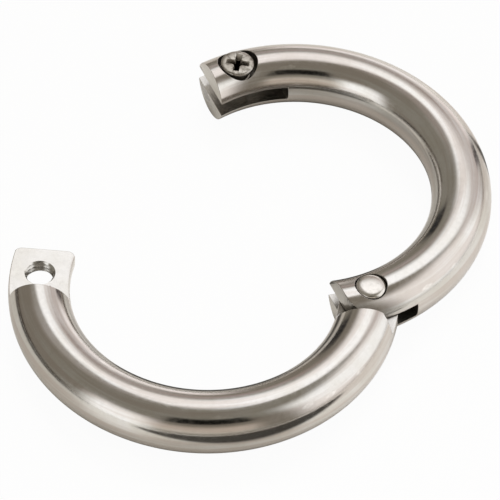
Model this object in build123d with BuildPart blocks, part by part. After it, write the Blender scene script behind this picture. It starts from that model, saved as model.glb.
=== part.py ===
"""Hinged ring link in stainless steel, swung open.

Two bars bent to half rings share a riveted hinge pin. The fork half has a slotted fork at
each end, the tongue half a flat tongue, and a cross-recessed screw locks the far pair.
Millimetres and degrees. The origin is the middle of the fork half's ring, +X points to the
hinge pin, +Z stands square to the ring, and the fork half's bar runs on the +Y side.
"""
import os
from math import cos, radians, sin, tan

from build123d import *

# Ring
bar_diameter = 8.0
ring_inner_diameter = 35.0
opening_angle = 62.0

# Forks, one at each end of the fork half, measured from the pin's and the screw's axes
slot_height = 2.2
hinge_slot_root = 5.4
closing_slot_root = 5.6
hinge_fork_reach = 3.85
closing_fork_reach = 4.15

# Tongues, one at each end of the tongue half
tongue_side_gap = 0.1
tongue_reach = 4.05
tongue_corner_radius = 1.1

# Shoulders, where the tongue half's bar takes its full thickness
shoulder_gap = 0.25
relief_offset = 1.8
relief_angle = 48.0

# Riveted hinge pin
pin_diameter = 3.0
pin_running_gap = 0.05
pin_seat_gap = 0.02
pin_head_diameter = 4.0
pin_head_thickness = 0.9
pin_head_bevel = 0.45
pin_head_sink = 0.05
pin_recess_gap = 0.12

# Locking screw, backed out until its tip clears the slot
thread_pitch = 0.7
locking_turns = 2
screw_shank_diameter = 3.4
screw_running_gap = 0.05
screw_head_diameter = 4.6
screw_head_thickness = 0.7
screw_head_bevel = 0.2
screw_recess_gap = 0.45
screw_tip_gap = 0.05
screw_tip_bevel = 0.3
web_thickness = 0.5
thread_mouth_bevel = 0.15
cross_span = 3.2
cross_arm_width = 0.85
cross_depth = 1.1
cross_taper = 14.0
cross_turn = 57.0

# Worked out from the sizes above
bar_radius = bar_diameter / 2
ring_radius = (ring_inner_diameter + bar_diameter) / 2
plan_reach = ring_radius + bar_diameter
slot_half = slot_height / 2
tongue_half_thickness = slot_half - tongue_side_gap
pin_radius = pin_diameter / 2
pin_head_top = bar_radius - pin_head_sink
pin_head_seat = pin_head_top - pin_head_thickness
shank_radius = screw_shank_diameter / 2
screw_travel = thread_pitch * locking_turns
screw_seat = slot_half + web_thickness
screw_head_base = screw_seat + screw_travel
screw_head_top = screw_head_base + screw_head_thickness
screw_tip = slot_half + screw_tip_gap
closing_shoulder = closing_fork_reach + shoulder_gap
hinge_shoulder = hinge_fork_reach + shoulder_gap

# The tongue half's own frame: its ring's middle, with its x axis towards the pin
tongue_frame = Plane(
    origin=(
        ring_radius * (1 - cos(radians(opening_angle))),
        -ring_radius * sin(radians(opening_angle)),
        0,
    ),
    x_dir=(cos(radians(opening_angle)), sin(radians(opening_angle)), 0),
    z_dir=(0, 0, 1),
)
# Upright planes through that ring's middle, along its y axis and along its x axis
tongue_bar_section = Plane(tongue_frame.origin, x_dir=tongue_frame.y_dir, z_dir=tongue_frame.x_dir)
tongue_pin_section = Plane(tongue_frame.origin, x_dir=tongue_frame.x_dir, z_dir=-tongue_frame.y_dir)

os.makedirs("parts", exist_ok=True)

# Fork half: round bar bent to a ring, cut square past the pin and past the screw
with BuildPart() as fork_half:
    with BuildSketch(Plane.XZ):
        with Locations((ring_radius, 0)):
            Circle(bar_radius)
    revolve(axis=Axis.Z)
    with BuildSketch(Plane.XY):
        with Locations((0, -hinge_fork_reach)):
            Rectangle(plan_reach, plan_reach, align=(Align.MIN, Align.MAX))
        with Locations((0, -closing_fork_reach)):
            Rectangle(plan_reach, plan_reach, align=(Align.MAX, Align.MAX))
    extrude(amount=bar_diameter, both=True, mode=Mode.SUBTRACT)
    # The hinge end's outer half is rounded about the pin, so that it can swing past the shoulder
    with BuildSketch(Plane.XY):
        with Locations((ring_radius, 0)):
            Rectangle(bar_diameter, bar_diameter, align=(Align.MIN, Align.MAX))
            Circle(hinge_fork_reach, mode=Mode.SUBTRACT)
    extrude(amount=bar_diameter, both=True, mode=Mode.SUBTRACT)
    # Slots that take the tongues
    with BuildSketch(Plane.XY):
        with Locations((ring_radius, hinge_slot_root), (-ring_radius, closing_slot_root)):
            Rectangle(2 * bar_diameter, 2 * bar_diameter, align=(Align.CENTER, Align.MAX))
    extrude(amount=slot_half, both=True, mode=Mode.SUBTRACT)
    # Hinge bore with a recess at each end for the pin's riveted heads
    with Locations((ring_radius, 0, 0)):
        Hole(pin_radius + pin_seat_gap)
    for side in (1, -1):
        with BuildSketch(Plane((ring_radius, 0, side * pin_head_seat), z_dir=(0, 0, side))):
            Circle(pin_head_diameter / 2 + pin_recess_gap)
        extrude(amount=bar_radius, mode=Mode.SUBTRACT)
    # Screw hole through the upper cheek alone, under a deep counterbore
    with Locations((-ring_radius, 0, bar_radius)):
        CounterBoreHole(
            radius=shank_radius + screw_running_gap,
            counter_bore_radius=screw_head_diameter / 2 + screw_recess_gap,
            counter_bore_depth=bar_radius - screw_seat,
            depth=bar_radius,
        )

# Tongue half: the same bar on the other side of the pin, thinned to a tongue at each end
relief_run = bar_diameter
relief_fall = relief_run * tan(radians(relief_angle))
with BuildPart(tongue_frame) as tongue_half:
    with BuildSketch(tongue_bar_section):
        with Locations(Location((ring_radius, 0, 0), (0, 0, 90))):
            Circle(bar_radius)
    revolve(axis=Axis(tongue_frame.origin, (0, 0, 1)))
    with BuildSketch(tongue_frame):
        Rectangle(plan_reach, plan_reach, align=(Align.MIN, Align.MIN))
        with Locations((0, tongue_reach)):
            Rectangle(plan_reach, plan_reach, align=(Align.MAX, Align.MIN))
    extrude(amount=bar_diameter, both=True, mode=Mode.SUBTRACT)
    # The hinge end is rounded about the pin
    with BuildSketch(tongue_pin_section):
        with Locations((ring_radius, 0)):
            Circle(bar_radius)
            Rectangle(bar_diameter, bar_diameter, align=(Align.MAX, Align.CENTER), mode=Mode.SUBTRACT)
    revolve(axis=Axis((ring_radius, 0, 0), (0, 0, 1)), revolution_arc=180)
    # Both faces of each tongue, back to its shoulder
    for side in (1, -1):
        with BuildSketch(tongue_frame.offset(side * tongue_half_thickness)):
            with Locations((-ring_radius, -closing_shoulder), (ring_radius, -hinge_shoulder)):
                Rectangle(2 * bar_diameter, 2 * bar_diameter, align=(Align.CENTER, Align.MIN))
            # Relief across the outer corner of the hinge shoulder
            with Locations((ring_radius + relief_offset, -hinge_shoulder)):
                Polygon((0, 0), (relief_run, -relief_fall), (relief_run, 0), align=None)
        extrude(amount=side * bar_radius, mode=Mode.SUBTRACT)
    # Corners of the closing tongue
    flat_faces = tongue_half.faces().filter_by(GeomType.PLANE)
    closing_end = flat_faces.sort_by(Axis(tongue_frame.origin, tongue_frame.y_dir))[-1]
    fillet(closing_end.edges().filter_by(GeomType.LINE, reverse=True), tongue_corner_radius)
    # Pin bore and tapped hole
    with Locations((ring_radius, 0, 0)):
        Hole(pin_radius + pin_running_gap)
    with Locations((-ring_radius, 0, 0)):
        Hole(shank_radius + screw_running_gap)
    hole_mouths = (
        tongue_half.edges()
        .filter_by(GeomType.CIRCLE)
        .filter_by(lambda edge: abs(edge.radius - shank_radius - screw_running_gap) < 1e-6)
    )
    chamfer(hole_mouths.sort_by(Axis(tongue_frame.origin, -tongue_frame.x_dir))[-2:], thread_mouth_bevel)

# Hinge pin: a plain shank with a bevelled head riveted over at each end
with BuildPart() as hinge_pin:
    with Locations((ring_radius, 0, 0)):
        Cylinder(pin_radius, 2 * pin_head_seat)
    for side in (1, -1):
        with BuildSketch(Plane((ring_radius, 0, side * pin_head_seat), z_dir=(0, 0, side))):
            Circle(pin_head_diameter / 2)
        extrude(amount=pin_head_thickness)
    head_rims = hinge_pin.edges().group_by(Axis.Z)[0] + hinge_pin.edges().group_by(Axis.Z)[-1]
    chamfer(head_rims, pin_head_bevel)

# Locking screw: flat head with a cross recess, on a short shank
with BuildPart() as locking_screw:
    with BuildSketch(Plane((-ring_radius, 0, screw_head_base))):
        Circle(screw_head_diameter / 2)
    extrude(amount=screw_head_thickness)
    chamfer(locking_screw.edges().group_by(Axis.Z)[-1], screw_head_bevel)
    with BuildSketch(Plane((-ring_radius, 0, screw_head_base))):
        Circle(shank_radius)
    extrude(amount=screw_tip - screw_head_base)
    chamfer(locking_screw.edges().group_by(Axis.Z)[0], screw_tip_bevel)
    with BuildSketch(Plane((-ring_radius, 0, screw_head_top))):
        Rectangle(cross_span, cross_arm_width, rotation=cross_turn)
        Rectangle(cross_arm_width, cross_span, rotation=cross_turn)
    extrude(amount=-cross_depth, taper=cross_taper, mode=Mode.SUBTRACT)

fork_half.part.label = "fork_half"
tongue_half.part.label = "tongue_half"
hinge_pin.part.label = "hinge_pin"
locking_screw.part.label = "locking_screw"

export_step(fork_half.part, "parts/fork_half.step")
export_step(tongue_half.part, "parts/tongue_half.step")
export_step(hinge_pin.part, "parts/hinge_pin.step")
export_step(locking_screw.part, "parts/locking_screw.step")
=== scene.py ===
"""Hinged ring link in stainless steel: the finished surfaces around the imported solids.

Lengths are written in millimetres and turned into metres by mm(). The tongue half is modelled
about its own ring's middle, with x towards the pin, and swung into place at the end.
"""
from math import atan2, cos, hypot, pi, radians, sin, sqrt

import bpy
from mathutils import Matrix, Vector


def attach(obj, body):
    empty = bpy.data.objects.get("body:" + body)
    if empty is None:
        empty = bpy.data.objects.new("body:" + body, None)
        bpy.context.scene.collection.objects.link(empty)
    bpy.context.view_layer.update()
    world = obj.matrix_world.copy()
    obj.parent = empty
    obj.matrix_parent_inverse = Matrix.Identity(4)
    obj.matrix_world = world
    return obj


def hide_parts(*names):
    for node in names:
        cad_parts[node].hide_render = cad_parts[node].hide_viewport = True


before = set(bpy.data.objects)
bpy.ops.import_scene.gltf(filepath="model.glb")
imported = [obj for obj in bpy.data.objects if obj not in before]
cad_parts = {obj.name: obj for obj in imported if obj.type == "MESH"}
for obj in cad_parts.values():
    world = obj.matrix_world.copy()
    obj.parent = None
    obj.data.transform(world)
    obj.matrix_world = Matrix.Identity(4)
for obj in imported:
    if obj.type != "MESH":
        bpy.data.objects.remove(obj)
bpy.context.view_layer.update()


def mm(*lengths):
    """Millimetres to metres, one number or a point."""
    metres = tuple(length * 0.001 for length in lengths)
    return metres[0] if len(metres) == 1 else metres


# Ring: the bar's radius, the ring's radius along its middle, and how far the link stands open
BAR = 4.0
RING = 21.5
OPENING = 62.0

# Forks and tongues: half thicknesses, and reaches from the pin's and the screw's axes
SLOT = 1.1
TONGUE = 1.0
HINGE_ROOT = 5.4
CLOSING_ROOT = 5.6
HINGE_FORK = 3.85
CLOSING_FORK = 4.15
TONGUE_END = 4.05
TONGUE_CORNER = 1.1

# Shoulders of the tongue half, the hinge one relieved across its outer corner
HINGE_SHOULDER = 4.1
CLOSING_SHOULDER = 4.4
RELIEF_START = 1.8
RELIEF_SLOPE = 48.0

# Holes: radii, and the heights of their floors
PIN_BORE = 1.52
TONGUE_PIN_BORE = 1.55
PIN_RECESS = 2.12
PIN_RECESS_FLOOR = 3.05
SCREW_BORE = 1.75
COUNTERBORE = 2.75
COUNTERBORE_FLOOR = 1.6

# Threads: inner and outer radii of the tapped hole's and the screw's, and the screw's run
THREAD_PITCH = 0.7
TAP_INNER = 1.74
TAP_OUTER = 2.02
THREAD_INNER = 1.41
THREAD_OUTER = 1.66
THREAD_LOW = 1.35
THREAD_HIGH = 2.95

# Outlines of the turned pieces, as (radius, height): the pin's upper half and the whole screw
PIN = 1.5
PIN_HEAD = (
    (2.0, 3.05), (2.0, 3.42), (1.97, 3.54), (1.88, 3.66), (1.74, 3.76), (1.54, 3.84),
    (1.2, 3.9), (0.8, 3.935), (0.4, 3.95), (0.0, 3.95),
)
SCREW_TOP = 3.7
SCREW_OUTLINE = (
    (0.0, 1.15), (1.25, 1.15), (1.4, 1.3), (1.4, 3.01), (2.22, 3.01), (2.3, 3.08), (2.3, 3.46),
    (2.27, 3.54), (2.19, 3.61), (2.05, 3.66), (1.8, 3.69), (1.4, SCREW_TOP), (0.0, SCREW_TOP),
)

# Cross recess: half length and half width of an arm at the head's face and at its foot
CROSS_TURN = 57.0
CROSS_MOUTH = (1.65, 0.42)
CROSS_FOOT = (0.75, 0.2)
CROSS_DEPTH = 1.15
HOLLOW_FOOT = 0.3
HOLLOW_MOUTH = 1.12
HOLLOW_HEIGHT = 1.2
HOLLOW_MIDDLE = 0.5

# Broken edges
EDGE = 0.08
FINE_EDGE = 0.05

# Cutters' reach past the bar and past the ring
FAR = 12.0
WIDE = 40.0


# Modelling helpers
def select_only(piece):
    bpy.ops.object.select_all(action="DESELECT")
    piece.select_set(True)
    bpy.context.view_layer.objects.active = piece


def pick(piece, kind, wanted):
    """Opens a piece for editing with only those of its edges or faces selected that are wanted."""
    select_only(piece)
    bpy.ops.object.mode_set(mode="EDIT")
    bpy.ops.mesh.select_mode(type=kind)
    bpy.ops.mesh.select_all(action="DESELECT")
    bpy.ops.object.mode_set(mode="OBJECT")
    for part in piece.data.edges if kind == "EDGE" else piece.data.polygons:
        part.select = wanted(part)
    bpy.ops.object.mode_set(mode="EDIT")


def named(name):
    """The object just added, renamed, with its place put into its mesh."""
    piece = bpy.context.object
    piece.name = name
    piece.data.name = name
    select_only(piece)
    bpy.ops.object.transform_apply(location=True, rotation=True, scale=True)
    return piece


def block(low, high):
    """A plain box between two corners."""
    bpy.ops.object.select_all(action="DESELECT")
    middle = [(a + b) / 2 for a, b in zip(low, high)]
    size = [b - a for a, b in zip(low, high)]
    bpy.ops.mesh.primitive_cube_add(size=1, location=mm(*middle), scale=mm(*size))
    return named("cutter")


def rod(radius, low, high, x, y, sides=128, ends="NGON"):
    """An upright cylinder."""
    bpy.ops.object.select_all(action="DESELECT")
    bpy.ops.mesh.primitive_cylinder_add(
        vertices=sides,
        radius=mm(radius),
        depth=mm(high - low),
        end_fill_type=ends,
        location=mm(x, y, (low + high) / 2),
    )
    return named("cutter")


def ringed_rod(name, rings, radius, low, high, x, y, sides, ends="NGON"):
    """An upright cylinder whose side is cut into evenly spaced rings, its two ends included."""
    piece = rod(radius, low, high, x, y, sides, ends)
    piece.name = piece.data.name = name
    points = piece.data.vertices
    pick(piece, "EDGE", lambda edge: points[edge.vertices[0]].co.z != points[edge.vertices[1]].co.z)
    bpy.ops.mesh.subdivide(number_cuts=rings - 2, ngon=False)
    bpy.ops.object.mode_set(mode="OBJECT")
    return piece


def combine(piece, other, operation="DIFFERENCE"):
    """Cuts one piece by another, or joins the two, and takes the other away."""
    select_only(piece)
    modifier = piece.modifiers.new("combine", "BOOLEAN")
    modifier.operation = operation
    modifier.solver = "EXACT"
    modifier.object = other
    bpy.ops.object.modifier_apply(modifier=modifier.name)
    bpy.data.objects.remove(other, do_unlink=True)


def trim(piece, point, normal):
    """Cuts off what lies on the normal's side of a plane and closes the cut."""
    select_only(piece)
    bpy.ops.object.mode_set(mode="EDIT")
    bpy.ops.mesh.select_all(action="SELECT")
    bpy.ops.mesh.bisect(plane_co=mm(*point), plane_no=normal, use_fill=True, clear_outer=True)
    bpy.ops.mesh.select_all(action="SELECT")
    bpy.ops.mesh.normals_make_consistent(inside=False)
    bpy.ops.object.mode_set(mode="OBJECT")


def ring_bar(name):
    """The whole ring, before it is cut to a half."""
    bpy.ops.object.select_all(action="DESELECT")
    bpy.ops.mesh.primitive_torus_add(
        major_segments=432,
        minor_segments=144,
        major_radius=mm(RING),
        minor_radius=mm(BAR),
    )
    return named(name)


def lathe(name, outline, x, y, sides=96):
    """Turns a rod to an outline of (radius, height) points that starts and ends on the axis.

    A spin would leave the points in another order at each run, and merges depend on the order.
    """
    last = len(outline) - 1
    piece = ringed_rod(name, last - 1, 1, 1, last - 1, x, y, sides, ends="TRIFAN")
    centre = Vector(mm(x, y, 0))
    for vertex in piece.data.vertices:
        out = vertex.co - centre
        # A ring's height, in millimetres, is its place in the outline
        place = round(out.z * 1000)
        if out.xy.length < mm(0.5):
            place = 0 if place == 1 else last
        radius, height = outline[place]
        out.z = 0
        vertex.co = centre + out.normalized() * mm(radius)
        vertex.co.z = mm(height)
    return piece


def threaded(name, inner, outer, low, high, x, y, mouth=None, sides=72, rings_per_turn=12):
    """An upright rod drawn out into a right-hand thread, flared where mouth() says."""
    rings = int((high - low) / THREAD_PITCH * rings_per_turn) + 2
    piece = ringed_rod(name, rings, outer, low, high, x, y, sides)
    centre = Vector(mm(x, y, 0))
    for vertex in piece.data.vertices:
        out = vertex.co - centre
        turn = atan2(out.y, out.x) / (2 * pi)
        step = (vertex.co.z / mm(THREAD_PITCH) - turn) % 1.0
        # A triangle wave, cut flat at the crest and at the root
        rise = min(1.0, max(0.0, 1.2 * (1 - abs(2 * step - 1)) - 0.1))
        radius = inner + (outer - inner) * rise
        if mouth:
            radius = max(radius, mouth(vertex.co.z * 1000))
        length = hypot(out.x, out.y)
        vertex.co.x = centre.x + out.x / length * mm(radius)
        vertex.co.y = centre.y + out.y / length * mm(radius)
    return piece


# Finishing helpers
def smooth(piece, angle):
    """Rounds the shading below an angle and leaves flats looking flat."""
    select_only(piece)
    bpy.ops.object.shade_smooth_by_angle(angle=radians(angle))
    even = piece.modifiers.new("even shading", "WEIGHTED_NORMAL")
    even.mode = "FACE_AREA_WITH_ANGLE"
    even.weight = 90
    even.keep_sharp = True
    bpy.ops.object.modifier_apply(modifier=even.name)


def finish_edges(piece, width, angle=35.0, keep_sharp=None):
    """Merges the specks a cut leaves, breaks the sharp edges and smooths the rest."""
    select_only(piece)
    bpy.ops.object.mode_set(mode="EDIT")
    bpy.ops.mesh.select_mode(type="EDGE")
    bpy.ops.mesh.select_all(action="SELECT")
    bpy.ops.mesh.remove_doubles(threshold=mm(0.02))
    bpy.ops.mesh.dissolve_degenerate(threshold=mm(0.005))
    bpy.ops.mesh.select_all(action="DESELECT")
    bpy.ops.mesh.edges_select_sharp(sharpness=radians(angle))
    bpy.ops.object.mode_set(mode="OBJECT")
    mesh = piece.data
    weights = mesh.attributes.new("bevel_weight_edge", "FLOAT", "EDGE")
    for edge in mesh.edges:
        middle = (mesh.vertices[edge.vertices[0]].co + mesh.vertices[edge.vertices[1]].co) / 2
        broken = edge.select and not (keep_sharp and keep_sharp(middle * 1000))
        weights.data[edge.index].value = 1.0 if broken else 0.0
    bevel = piece.modifiers.new("broken edges", "BEVEL")
    bevel.width = mm(width)
    bevel.segments = 2
    bevel.limit_method = "WEIGHT"
    bevel.use_clamp_overlap = False
    bevel.loop_slide = False
    bpy.ops.object.modifier_apply(modifier=bevel.name)
    smooth(piece, angle)


def true_round(piece, slack=0.006, alike=0.9):
    """Gives the bar's round surface its exact normals, so that reflections run up to each cut."""
    mesh = piece.data
    normals = [corner.vector.copy() for corner in mesh.corner_normals]
    for index, loop in enumerate(mesh.loops):
        point = mesh.vertices[loop.vertex_index].co
        centre = Vector((point.x, point.y, 0)).normalized() * mm(RING)
        out = point - centre
        if abs(out.length - mm(BAR)) < mm(slack):
            out.normalize()
            if normals[index].dot(out) > alike:
                normals[index] = out
    mesh.normals_split_custom_set(normals)


# Fork half: the bar, a slotted fork at each end, the pin's recesses and the screw's counterbore
def make_fork_half():
    piece = ring_bar("fork_bar")
    combine(piece, block((-WIDE, -WIDE, -FAR), (WIDE, -CLOSING_FORK, FAR)))
    combine(piece, block((RING - FAR, -FAR, -FAR), (RING + FAR, -HINGE_FORK, FAR)))
    # Outer half of the hinge end, rounded about the pin
    corner = block((RING, -FAR, -FAR), (RING + FAR, 0, FAR))
    combine(corner, rod(HINGE_FORK, -FAR - 1, FAR + 1, RING, 0, sides=192))
    combine(piece, corner)
    for x, root in ((RING, HINGE_ROOT), (-RING, CLOSING_ROOT)):
        combine(piece, block((x - FAR, -FAR, -SLOT), (x + FAR, root, SLOT)))
    combine(piece, rod(PIN_BORE, -FAR, FAR, RING, 0))
    combine(piece, rod(PIN_RECESS, PIN_RECESS_FLOOR, FAR, RING, 0))
    combine(piece, rod(PIN_RECESS, -FAR, -PIN_RECESS_FLOOR, RING, 0))
    combine(piece, rod(SCREW_BORE, 0, FAR, -RING, 0))
    combine(piece, rod(COUNTERBORE, COUNTERBORE_FLOOR, FAR, -RING, 0))
    finish_edges(piece, EDGE)
    true_round(piece)
    return piece


# Tongue half: the bar, a flat tongue at each end behind its shoulder, the tapped hole
def make_tongue_half():
    piece = ring_bar("tongue_bar")
    combine(piece, block((-WIDE, TONGUE_END, -FAR), (WIDE, WIDE, FAR)))
    combine(piece, block((RING - FAR, 0, -FAR), (RING + FAR, FAR, FAR)))
    steps = [pi * step / 96 for step in range(97)]
    half_circle = [(BAR * sin(angle), -BAR * cos(angle)) for angle in steps]
    combine(piece, lathe("ball", half_circle, RING, 0, sides=192), "UNION")
    slope = radians(RELIEF_SLOPE)
    for side in (1, -1):
        low, high = sorted((side * TONGUE, side * FAR))
        combine(piece, block((-RING - FAR, -CLOSING_SHOULDER, low), (-RING + FAR, FAR, high)))
        combine(piece, block((RING - FAR, -HINGE_SHOULDER, low), (RING + FAR, FAR, high)))
        relief = block((RING, -HINGE_SHOULDER - FAR, low), (RING + FAR, -HINGE_SHOULDER + 1, high))
        trim(relief, (RING + RELIEF_START, -HINGE_SHOULDER, 0), (-sin(slope), -cos(slope), 0))
        combine(piece, relief)
    # Rounded corners of the closing tongue, each starting where it touches the bar's own edge
    corner_y = TONGUE_END - TONGUE_CORNER
    for reach, side in ((RING + BAR - TONGUE_CORNER, -1), (RING - BAR + TONGUE_CORNER, 1)):
        corner_x = -sqrt(reach**2 - corner_y**2)
        start_y = corner_y * (1 - side * TONGUE_CORNER / reach)
        low, high = sorted((corner_x, corner_x + side * FAR / 2))
        corner = block((low, start_y, -FAR), (high, FAR, FAR))
        combine(corner, rod(TONGUE_CORNER, -FAR - 1, FAR + 1, corner_x, corner_y, sides=96))
        combine(piece, corner)
    combine(piece, rod(TONGUE_PIN_BORE, -FAR, FAR, RING, 0))
    # Tapped hole, its mouths countersunk
    tap_reach = TONGUE + 0.1
    tap = threaded(
        "tap", TAP_INNER, TAP_OUTER, -tap_reach, tap_reach, -RING, 0,
        mouth=lambda z: TAP_OUTER - (TONGUE - abs(z)),
    )
    combine(piece, tap)
    finish_edges(piece, EDGE, keep_sharp=lambda point: hypot(point.x + RING, point.y) < 2.5)
    true_round(piece)
    swing = Matrix.Rotation(radians(OPENING), 4, "Z")
    middle = Vector(mm(RING, 0, 0)) - swing @ Vector(mm(RING, 0, 0))
    piece.data.transform(Matrix.Translation(middle) @ swing)
    return piece


# Hinge pin: shank with a low crowned head riveted over at each end
def make_hinge_pin():
    upper = [(PIN, 0.0), (PIN, PIN_RECESS_FLOOR), *PIN_HEAD]
    lower = [(radius, -height) for radius, height in upper[::-1]]
    piece = lathe("riveted_pin", lower[:-1] + upper[1:], RING, 0)
    smooth(piece, 40)
    return piece


# Locking screw: flat head with a broken rim and a tapered cross recess, on a threaded shank
def make_locking_screw():
    head = lathe("machine_screw", SCREW_OUTLINE, -RING, 0)
    thread = threaded("thread", THREAD_INNER, THREAD_OUTER, THREAD_LOW, THREAD_HIGH, -RING, 0)
    combine(head, thread, "UNION")
    combine(head, cross_recess())
    finish_edges(head, FINE_EDGE, 40, keep_sharp=lambda point: point.z < THREAD_HIGH)
    return head


def cross_recess():
    """Two crossed arms that narrow towards their foot, with a blunt hollow where they meet."""
    length, width = CROSS_MOUTH
    narrowing = (CROSS_FOOT[0] / length, CROSS_FOOT[1] / width, 1)
    arms = []
    for turn in (0, 90):
        arm = block((-length, -width, -CROSS_DEPTH), (length, width, 0.1))
        pick(arm, "FACE", lambda face: face.normal.z < -0.5)
        bpy.ops.transform.resize(value=narrowing, center_override=(0, 0, 0))
        bpy.ops.object.mode_set(mode="OBJECT")
        arm.rotation_euler = (0, 0, radians(turn + CROSS_TURN))
        arm.location = mm(-RING, 0, SCREW_TOP)
        arms.append(named("cutter"))
    recess = arms[0]
    combine(recess, arms[1], "UNION")
    bpy.ops.object.select_all(action="DESELECT")
    bpy.ops.mesh.primitive_cone_add(
        vertices=4,
        radius1=mm(HOLLOW_FOOT),
        radius2=mm(HOLLOW_MOUTH),
        depth=mm(HOLLOW_HEIGHT),
        location=mm(-RING, 0, SCREW_TOP - HOLLOW_MIDDLE),
        rotation=(0, 0, radians(CROSS_TURN)),
    )
    combine(recess, named("cutter"), "UNION")
    return recess


fork_half = make_fork_half()
tongue_half = make_tongue_half()
hinge_pin = make_hinge_pin()
locking_screw = make_locking_screw()

for piece, node, body, finish in (
    (fork_half, "fork_half", "fork", "bar_steel"),
    (tongue_half, "tongue_half", "tongue", "bar_steel"),
    (hinge_pin, "hinge_pin", "fork", "pin_steel"),
    (locking_screw, "locking_screw", "screw", "screw_steel"),
):
    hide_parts(node)
    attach(piece, body)


# Node helpers
def new_group(name, inputs, outputs):
    """A node group with its sockets, and its first and last nodes."""
    group = bpy.data.node_groups.new(name, "ShaderNodeTree")
    for label, kind, default in inputs:
        socket = group.interface.new_socket(name=label, in_out="INPUT", socket_type=kind)
        if default is not None:
            socket.default_value = default
    for label, kind in outputs:
        group.interface.new_socket(name=label, in_out="OUTPUT", socket_type=kind)
    start = group.nodes.new("NodeGroupInput")
    end = group.nodes.new("NodeGroupOutput")
    return group, start, end


def use_group(tree, group, **settings):
    """The group placed in a tree, with its named inputs set."""
    node = tree.nodes.new("ShaderNodeGroup")
    node.node_tree = group
    for label, value in settings.items():
        node.inputs[label.replace("_", " ")].default_value = value
    return node


def noise(tree, vector, scale, detail, roughness=0.5):
    node = tree.nodes.new("ShaderNodeTexNoise")
    node.inputs["Scale"].default_value = scale
    node.inputs["Detail"].default_value = detail
    node.inputs["Roughness"].default_value = roughness
    tree.links.new(vector, node.inputs["Vector"])
    return node.outputs["Fac"]


def maths(tree, operation, *values):
    node = tree.nodes.new("ShaderNodeMath")
    node.operation = operation
    for socket, value in zip(node.inputs, values):
        if isinstance(value, (int, float)):
            socket.default_value = value
        else:
            tree.links.new(value, socket)
    return node.outputs[0]


def spread(tree, value, low, high, to_low=0.0, to_high=1.0):
    """Eases a value from one number to another between two bounds."""
    node = tree.nodes.new("ShaderNodeMapRange")
    node.interpolation_type = "SMOOTHSTEP"
    for name, number in (
        ("From Min", low),
        ("From Max", high),
        ("To Min", to_low),
        ("To Max", to_high),
    ):
        node.inputs[name].default_value = number
    tree.links.new(value, node.inputs["Value"])
    return node.outputs["Result"]


def blend_colour(tree, share, first, second):
    node = tree.nodes.new("ShaderNodeMix")
    node.data_type = "RGBA"
    sockets = (node.inputs[0], node.inputs[6], node.inputs[7])
    for socket, value in zip(sockets, (share, first, second)):
        if isinstance(value, (int, float, tuple)):
            socket.default_value = value
        else:
            tree.links.new(value, socket)
    return node.outputs[2]


def openness(tree, distance, samples):
    """How open a surface lies to its surroundings, 0 in a deep corner and 1 on a free face."""
    node = tree.nodes.new("ShaderNodeAmbientOcclusion")
    node.samples = samples
    node.inputs["Distance"].default_value = mm(distance)
    return node.outputs["AO"]


def from_point(tree, vector, centre):
    """Distance from a point."""
    node = tree.nodes.new("ShaderNodeVectorMath")
    node.operation = "DISTANCE"
    tree.links.new(vector, node.inputs[0])
    node.inputs[1].default_value = centre
    return node.outputs["Value"]


def along(tree, vector, bearing):
    """Distance measured along a level bearing."""
    node = tree.nodes.new("ShaderNodeVectorMath")
    node.operation = "DOT_PRODUCT"
    tree.links.new(vector, node.inputs[0])
    node.inputs[1].default_value = (cos(radians(bearing)), sin(radians(bearing)), 0)
    return node.outputs["Value"]


# Finishes
BAR_COLOUR = (0.73, 0.715, 0.7)
PIN_COLOUR = (0.78, 0.75, 0.72)
SCREW_COLOUR = (0.57, 0.54, 0.5)
RUBBED = (0.9, 0.88, 0.85, 1)
# Dark brown for the dirt specks and for the painted shade in corners and hollows
DIRT_AND_SHADE = (0.1, 0.085, 0.06, 1)
DRAWN_LINE = (0.55, 0.48, 0.44, 1)


def build_edge_wear_and_hollow_shade():
    """Edges rubbed brighter, and corners and hollows darkened with painted shade and left dull."""
    group, start, end = new_group(
        "edge wear and hollow shade",
        [
            ("Colour", "NodeSocketColor", (0.6, 0.6, 0.6, 1)),
            ("Wear", "NodeSocketFloat", 0.5),
            ("Grime", "NodeSocketFloat", 0.5),
        ],
        [("Colour", "NodeSocketColor"), ("Dull", "NodeSocketFloat")],
    )
    geometry = group.nodes.new("ShaderNodeNewGeometry")
    place = group.nodes.new("ShaderNodeTexCoord").outputs["Object"]
    rubbed = spread(group, geometry.outputs["Pointiness"], 0.53, 0.62)
    patchy = spread(group, noise(group, place, scale=900, detail=4), 0.35, 0.65, 0.35, 1.0)
    rubbed = maths(group, "MULTIPLY", rubbed, patchy)
    rubbed = maths(group, "MULTIPLY", rubbed, start.outputs["Wear"])
    # Painted shade: the colour darkens where the surface is closed in, in slots, recesses and
    # corners
    shade = spread(group, openness(group, distance=3.0, samples=6), 0.25, 0.85, 0.85, 0.0)
    shade = maths(group, "MULTIPLY", shade, start.outputs["Grime"])
    brighter = blend_colour(group, rubbed, start.outputs["Colour"], RUBBED)
    darker = blend_colour(group, shade, brighter, DIRT_AND_SHADE)
    group.links.new(darker, end.inputs["Colour"])
    group.links.new(shade, end.inputs["Dull"])
    return group


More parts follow.
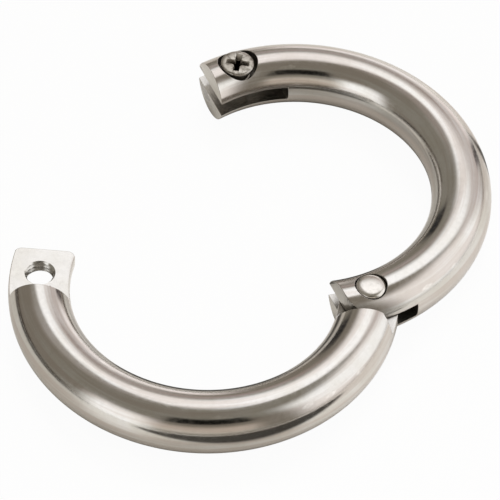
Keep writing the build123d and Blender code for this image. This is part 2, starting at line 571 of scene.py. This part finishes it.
def build_drawn_streaks():
    """Faint lines along the bent bar, in coordinates about its ring with the bar towards +y."""
    group, start, end = new_group(
        "drawn streaks",
        [("Vector", "NodeSocketVector", None)],
        [("Height", "NodeSocketFloat"), ("Dark lines", "NodeSocketFloat")],
    )
    axes = group.nodes.new("ShaderNodeSeparateXYZ")
    group.links.new(start.outputs["Vector"], axes.inputs[0])
    level = group.nodes.new("ShaderNodeCombineXYZ")
    group.links.new(axes.outputs["X"], level.inputs["X"])
    group.links.new(axes.outputs["Y"], level.inputs["Y"])
    reach = from_point(group, level.outputs[0], (0, 0, 0))
    # The bar unrolled, and shortened so that the noise is drawn out along it
    bend = maths(group, "ARCTAN2", axes.outputs["X"], axes.outputs["Y"])
    unrolled = group.nodes.new("ShaderNodeCombineXYZ")
    group.links.new(maths(group, "MULTIPLY", bend, mm(RING * 0.04)), unrolled.inputs["X"])
    group.links.new(reach, unrolled.inputs["Y"])
    group.links.new(axes.outputs["Z"], unrolled.inputs["Z"])
    wide = noise(group, unrolled.outputs[0], scale=900, detail=2)
    narrow = noise(group, unrolled.outputs[0], scale=4200, detail=2)
    height = maths(group, "MULTIPLY_ADD", narrow, 0.25, wide)
    # Nothing on the milled flats, which lie inside the bar's round
    across = maths(group, "POWER", maths(group, "SUBTRACT", reach, mm(RING)), 2.0)
    depth = maths(group, "MULTIPLY_ADD", axes.outputs["Z"], axes.outputs["Z"], across)
    on_round = spread(group, maths(group, "SQRT", depth), mm(3.8), mm(3.95))
    group.links.new(maths(group, "MULTIPLY", height, on_round), end.inputs["Height"])
    lines = spread(group, height, 0.5, 0.75)
    group.links.new(maths(group, "MULTIPLY", lines, on_round), end.inputs["Dark lines"])
    return group


def build_buffed_grain():
    """Fine buffing marks and slow waves in the surface."""
    group, start, end = new_group(
        "buffed grain",
        [("Grain", "NodeSocketFloat", 0.5), ("Waves", "NodeSocketFloat", 0.5)],
        [("Height", "NodeSocketFloat"), ("Patches", "NodeSocketFloat")],
    )
    place = group.nodes.new("ShaderNodeTexCoord").outputs["Object"]
    fine = noise(group, place, scale=9000, detail=2, roughness=0.6)
    medium = noise(group, place, scale=1500, detail=3, roughness=0.55)
    slow = noise(group, place, scale=170, detail=1, roughness=0.4)
    height = maths(group, "MULTIPLY_ADD", medium, 0.8, fine)
    height = maths(group, "MULTIPLY", height, start.outputs["Grain"])
    waves = maths(group, "MULTIPLY", slow, start.outputs["Waves"])
    group.links.new(maths(group, "MULTIPLY_ADD", waves, 14.0, height), end.inputs["Height"])
    group.links.new(spread(group, medium, 0.3, 0.7), end.inputs["Patches"])
    return group


edge_wear_and_hollow_shade = build_edge_wear_and_hollow_shade()
buffed_grain = build_buffed_grain()
drawn_streaks = build_drawn_streaks()


def steel(
    name, colour, roughness, grain, waves, wear, hollow_shade, soil, streaks=0.0, middle=(0, 0), turn=0.0
):
    """Metal whose streaks run round a ring's middle, turned so that its bar lies towards +y."""
    material = bpy.data.materials.new(name)
    material.use_nodes = True
    tree = material.node_tree
    shader = tree.nodes["Principled BSDF"]
    shader.inputs["Metallic"].default_value = 1.0
    # Worn edges, and painted shade darkening the hollows of the base colour
    edges = use_group(tree, edge_wear_and_hollow_shade, Wear=wear, Grime=hollow_shade)
    marks = use_group(tree, buffed_grain, Grain=grain, Waves=waves)
    place = tree.nodes.new("ShaderNodeTexCoord").outputs["Object"]
    duller = (colour[0] * 0.94, colour[1] * 0.93, colour[2] * 0.9, 1)
    clouds = spread(tree, noise(tree, place, scale=260, detail=3), 0.3, 0.7)
    tint = blend_colour(tree, clouds, (*colour, 1), duller)
    specks = spread(tree, noise(tree, place, scale=1700, detail=4, roughness=0.6), 0.5, 0.64)
    tint = blend_colour(tree, maths(tree, "MULTIPLY", specks, soil), tint, DIRT_AND_SHADE)
    height = marks.outputs["Height"]
    if streaks:
        centred = tree.nodes.new("ShaderNodeMapping")
        turned = Matrix.Rotation(radians(turn), 3, "Z") @ Vector((*middle, 0))
        centred.inputs["Rotation"].default_value = (0, 0, radians(turn))
        centred.inputs["Location"].default_value = -turned
        tree.links.new(place, centred.inputs["Vector"])
        lines = use_group(tree, drawn_streaks)
        tree.links.new(centred.outputs["Vector"], lines.inputs["Vector"])
        height = maths(tree, "MULTIPLY_ADD", lines.outputs["Height"], streaks, height)
        faint = maths(tree, "MULTIPLY", lines.outputs["Dark lines"], 0.6)
        tint = blend_colour(tree, faint, tint, DRAWN_LINE)
    tree.links.new(tint, edges.inputs["Colour"])
    tree.links.new(edges.outputs["Colour"], shader.inputs["Base Color"])
    rough = maths(tree, "MULTIPLY_ADD", marks.outputs["Patches"], 0.07, roughness - 0.035)
    rough = maths(tree, "MULTIPLY_ADD", edges.outputs["Dull"], 0.35, rough)
    tree.links.new(rough, shader.inputs["Roughness"])
    bump = tree.nodes.new("ShaderNodeBump")
    bump.inputs["Strength"].default_value = 1.0
    bump.inputs["Distance"].default_value = mm(0.001)
    tree.links.new(height, bump.inputs["Height"])
    tree.links.new(bump.outputs["Normal"], shader.inputs["Normal"])
    return material


opened = radians(OPENING)
tongue_middle = mm(RING * (1 - cos(opened)), -RING * sin(opened))
fork_steel = steel(
    "polished fork steel", BAR_COLOUR, roughness=0.15, grain=0.6, waves=0.6,
    wear=0.5, hollow_shade=0.9, soil=0.04, streaks=6.0,
)
tongue_steel = steel(
    "polished tongue steel", BAR_COLOUR, roughness=0.15, grain=0.6, waves=0.6,
    wear=0.5, hollow_shade=0.9, soil=0.04, streaks=6.0, middle=tongue_middle, turn=180.0 - OPENING,
)
pin_steel = steel(
    "riveted pin steel", PIN_COLOUR, roughness=0.2, grain=0.7, waves=0.4,
    wear=0.5, hollow_shade=0.9, soil=0.1,
)
screw_steel = steel(
    "turned screw steel", SCREW_COLOUR, roughness=0.3, grain=1.2, waves=0.3,
    wear=0.6, hollow_shade=1.0, soil=0.6,
)

for piece, node, material in (
    (fork_half, "fork_half", fork_steel),
    (tongue_half, "tongue_half", tongue_steel),
    (hinge_pin, "hinge_pin", pin_steel),
    (locking_screw, "locking_screw", screw_steel),
):
    for mesh in (piece.data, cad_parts[node].data):
        mesh.materials.clear()
        mesh.materials.append(material)

# Camera, at the photograph's angle
VIEW_TARGET = Vector(mm(7.24, -10.67, 0))
VIEW_AZIMUTH = -26.2
VIEW_ELEVATION = 49.31
VIEW_DISTANCE = 433.6
VIEW_ROLL = 3.19
nearer = Vector((cos(radians(VIEW_AZIMUTH)), sin(radians(VIEW_AZIMUTH)), 0))
towards = nearer * cos(radians(VIEW_ELEVATION)) + Vector((0, 0, sin(radians(VIEW_ELEVATION))))
lens = bpy.data.cameras.new("camera")
lens.lens = 237.2
lens.sensor_width = 36.0
lens.clip_start = 0.01
lens.clip_end = 20.0
camera = bpy.data.objects.new("camera", lens)
bpy.context.scene.collection.objects.link(camera)
stand = VIEW_TARGET + towards * mm(VIEW_DISTANCE)
facing = towards.to_track_quat("Z", "Y").to_matrix() @ Matrix.Rotation(radians(VIEW_ROLL), 3, "Z")
camera.matrix_world = Matrix.Translation(stand) @ facing.to_4x4()
bpy.context.scene.camera = camera

# Straight behind the link, as a bearing
AWAY = VIEW_AZIMUTH + 180.0

# Floor: its colours, and what the bars reflect of it
PAPER = (0.85, 0.83, 0.77, 1)
DARK = (0.02, 0.018, 0.015, 1)
# Painted glow: an emission that brightens the floor in reflections only
GLOW = (1.0, 0.97, 0.92, 1)
GLOW_STRENGTH = 0.24
SHEEN_SHARE = 0.4
SHEEN_ROUGHNESS = 0.35
WHITE_SHARE = 0.96
DARK_SHARE = 0.93

# Dark places on it: black mats as (x, y, radius, soft edge, share), a dark line across it, and
# painted shadows inside each ring the same but for x and y, the second of them nearer to the
# camera's side
MATS = ((122, -31, 78, 4, 1.0), (-102, -209, 148, 14, 1.0))
DARK_LINE_BEARING = 34.2
DARK_LINE_AT = 17.5
DARK_LINE_HALF = 1.0
DARK_LINE_EDGE = 2.6
DARK_LINE_SHARE = 0.95
INSIDE_SHADOW = (11.0, 5.0, 0.45)
SHADOW_BEHIND_BAR = (8.5, 3.0, 0.97)
BEHIND_BAR_NEARER = 5.0


def dark_disc(tree, spot, centre, radius, soft, share):
    """A dark round place on the floor with a soft edge."""
    return spread(tree, from_point(tree, spot, centre), mm(radius), mm(radius + soft), share, 0.0)


def find_dark_places(tree, spot):
    """Black mats, a dark line, and painted shadow inside the rings, most of all behind the near
    bars.
    """
    places = [dark_disc(tree, spot, mm(x, y, -BAR), *disc) for x, y, *disc in MATS]
    # A dark line across the floor behind the link, seen in reflections
    dark_line = maths(tree, "SUBTRACT", along(tree, spot, DARK_LINE_BEARING), mm(DARK_LINE_AT))
    dark_line = maths(tree, "ABSOLUTE", dark_line)
    dark_line = spread(tree, dark_line, mm(DARK_LINE_HALF), mm(DARK_LINE_EDGE), DARK_LINE_SHARE, 0.0)
    behind_link = spread(tree, along(tree, spot, AWAY), mm(4), mm(8))
    places.append(maths(tree, "MULTIPLY", dark_line, behind_link))
    # Painted shadows on the floor inside each ring and behind its near bar
    for x, y in ((0, 0), tongue_middle):
        centre = Vector((x, y, -mm(BAR)))
        places.append(dark_disc(tree, spot, centre, *INSIDE_SHADOW))
        places.append(dark_disc(tree, spot, centre + nearer * mm(BEHIND_BAR_NEARER), *SHADOW_BEHIND_BAR))
    darkest = places[0]
    for place in places[1:]:
        darkest = maths(tree, "MAXIMUM", darkest, place)
    return maths(tree, "MULTIPLY", darkest, DARK_SHARE)


def pale_paper():
    """White to the camera, with the link's shadow, and in reflections a table top lit by a painted
    glow, with painted shadows.
    """
    material = bpy.data.materials.new("pale paper")
    material.use_nodes = True
    tree = material.node_tree
    tree.nodes.clear()
    rays = tree.nodes.new("ShaderNodeLightPath")
    glossy = rays.outputs["Is Glossy Ray"]
    spot = tree.nodes.new("ShaderNodeTexCoord").outputs["Object"]
    dark = maths(tree, "MULTIPLY", find_dark_places(tree, spot), glossy)
    light = maths(tree, "SUBTRACT", 1.0, dark)
    matt = tree.nodes.new("ShaderNodeBsdfDiffuse")
    tree.links.new(blend_colour(tree, dark, PAPER, DARK), matt.inputs["Color"])
    sheen = tree.nodes.new("ShaderNodeBsdfGlossy")
    sheen.inputs["Color"].default_value = (1, 1, 1, 1)
    sheen.inputs["Roughness"].default_value = SHEEN_ROUGHNESS
    polish = tree.nodes.new("ShaderNodeMixShader")
    tree.links.new(maths(tree, "MULTIPLY", light, SHEEN_SHARE), polish.inputs[0])
    tree.links.new(matt.outputs[0], polish.inputs[1])
    tree.links.new(sheen.outputs[0], polish.inputs[2])
    # The painted glow in reflections fades where the bars rest on the table, a painted contact
    # shadow
    free = spread(tree, openness(tree, distance=7.0, samples=8), 0.2, 0.8)
    lift = maths(tree, "MULTIPLY", maths(tree, "MULTIPLY", light, glossy), free)
    lit = tree.nodes.new("ShaderNodeEmission")
    lit.inputs["Color"].default_value = GLOW
    tree.links.new(maths(tree, "MULTIPLY", lift, GLOW_STRENGTH), lit.inputs["Strength"])
    whole = tree.nodes.new("ShaderNodeAddShader")
    tree.links.new(polish.outputs[0], whole.inputs[0])
    tree.links.new(lit.outputs[0], whole.inputs[1])
    white = tree.nodes.new("ShaderNodeEmission")
    white.inputs["Color"].default_value = (1, 1, 1, 1)
    seen = tree.nodes.new("ShaderNodeMixShader")
    direct = maths(tree, "MULTIPLY", rays.outputs["Is Camera Ray"], WHITE_SHARE)
    tree.links.new(direct, seen.inputs[0])
    tree.links.new(whole.outputs[0], seen.inputs[1])
    tree.links.new(white.outputs[0], seen.inputs[2])
    output = tree.nodes.new("ShaderNodeOutputMaterial")
    tree.links.new(seen.outputs[0], output.inputs[0])
    return material


bpy.ops.object.select_all(action="DESELECT")
bpy.ops.mesh.primitive_plane_add(size=6.0, location=mm(0, 0, -BAR))
floor = named("floor")
floor.data.materials.append(pale_paper())

# Studio: a dim warm room with soft cards round the link. Each card has the azimuth of its
# middle, from straight behind and to the left positive, its half width, its height, its half
# height and the softness of its edges, in degrees, and its colour
ROOM = (0.27, 0.25, 0.21, 1)
CARDS = (
    ("front glow", 178.0, 33.0, 18.0, 11.0, 6.0, (0.66, 0.59, 0.51, 1)),
    ("right fill", -40.0, 34.0, 26.0, 20.0, 9.0, (0.75, 0.7, 0.675, 1)),
    ("right", -91.0, 34.0, 28.0, 27.0, 10.0, (1.24, 1.23, 1.21, 1)),
    ("gap behind", -2.0, 16.0, 30.0, 6.0, 4.0, (0.45, 0.39, 0.36, 1)),
    ("low behind", -14.0, 18.0, 7.0, 8.0, 4.0, (1.18, 1.12, 1.1, 1)),
    ("upper left", 44.0, 16.0, 60.0, 14.0, 9.0, (0.42, 0.385, 0.35, 1)),
    ("top", -11.0, 36.0, 61.0, 18.0, 8.0, (1.33, 1.32, 1.31, 1)),
    ("left front", 139.0, 17.0, 14.0, 24.0, 8.0, (1.3, 1.3, 1.28, 1)),
    ("left horizon", 80.0, 32.0, 1.0, 4.0, 2.0, (0.05, 0.04, 0.03, 1)),
    ("left gap", 27.0, 6.0, 8.0, 14.0, 2.5, (0.03, 0.03, 0.03, 1)),
    ("right gap", -37.0, 3.0, 7.0, 10.0, 2.0, (0.06, 0.05, 0.05, 1)),
    ("camera", -173.0, 25.0, 49.5, 9.5, 3.0, (0.005, 0.005, 0.004, 1)),
)


def build_soft_card():
    """How much of a soft-edged card covers a direction given by its azimuth and elevation."""
    group, start, end = new_group(
        "soft card",
        [
            ("Azimuth", "NodeSocketFloat", 0.0),
            ("Elevation", "NodeSocketFloat", 0.0),
            ("Middle", "NodeSocketFloat", 0.0),
            ("Half width", "NodeSocketFloat", 20.0),
            ("Height", "NodeSocketFloat", 40.0),
            ("Half height", "NodeSocketFloat", 20.0),
            ("Softness", "NodeSocketFloat", 5.0),
        ],
        [("Cover", "NodeSocketFloat")],
    )
    aside = maths(group, "SUBTRACT", start.outputs["Azimuth"], start.outputs["Middle"])
    aside = maths(group, "WRAP", aside, 180.0, -180.0)
    above = maths(group, "SUBTRACT", start.outputs["Elevation"], start.outputs["Height"])
    covers = []
    for offset, half in ((aside, "Half width"), (above, "Half height")):
        inward = maths(group, "SUBTRACT", start.outputs[half], maths(group, "ABSOLUTE", offset))
        edge = maths(group, "DIVIDE", inward, start.outputs["Softness"])
        covers.append(spread(group, edge, -1.0, 1.0))
    group.links.new(maths(group, "MULTIPLY", *covers), end.inputs["Cover"])
    return group


def light_studio():
    """The room and its cards, and plain white behind the link."""
    soft_card = build_soft_card()
    world = bpy.data.worlds.new("studio")
    bpy.context.scene.world = world
    world.use_nodes = True
    tree = world.node_tree
    tree.nodes.clear()
    axes = tree.nodes.new("ShaderNodeSeparateXYZ")
    tree.links.new(tree.nodes.new("ShaderNodeTexCoord").outputs["Generated"], axes.inputs[0])
    azimuth = maths(tree, "DEGREES", maths(tree, "ARCTAN2", axes.outputs["Y"], axes.outputs["X"]))
    azimuth = maths(tree, "WRAP", maths(tree, "SUBTRACT", azimuth, AWAY), 180.0, -180.0)
    elevation = maths(tree, "DEGREES", maths(tree, "ARCSINE", axes.outputs["Z"]))
    colour = ROOM
    for label, middle, half_width, height, half_height, softness, shade in CARDS:
        card = use_group(
            tree, soft_card, Middle=middle, Half_width=half_width,
            Height=height, Half_height=half_height, Softness=softness,
        )
        card.label = label
        tree.links.new(azimuth, card.inputs["Azimuth"])
        tree.links.new(elevation, card.inputs["Elevation"])
        colour = blend_colour(tree, card.outputs["Cover"], colour, shade)
    rays = tree.nodes.new("ShaderNodeLightPath")
    seen = blend_colour(tree, rays.outputs["Is Camera Ray"], colour, (1, 1, 1, 1))
    background = tree.nodes.new("ShaderNodeBackground")
    output = tree.nodes.new("ShaderNodeOutputWorld")
    tree.links.new(seen, background.inputs["Color"])
    tree.links.new(background.outputs[0], output.inputs[0])


light_studio()
bpy.context.scene.view_settings.view_transform = "Standard"
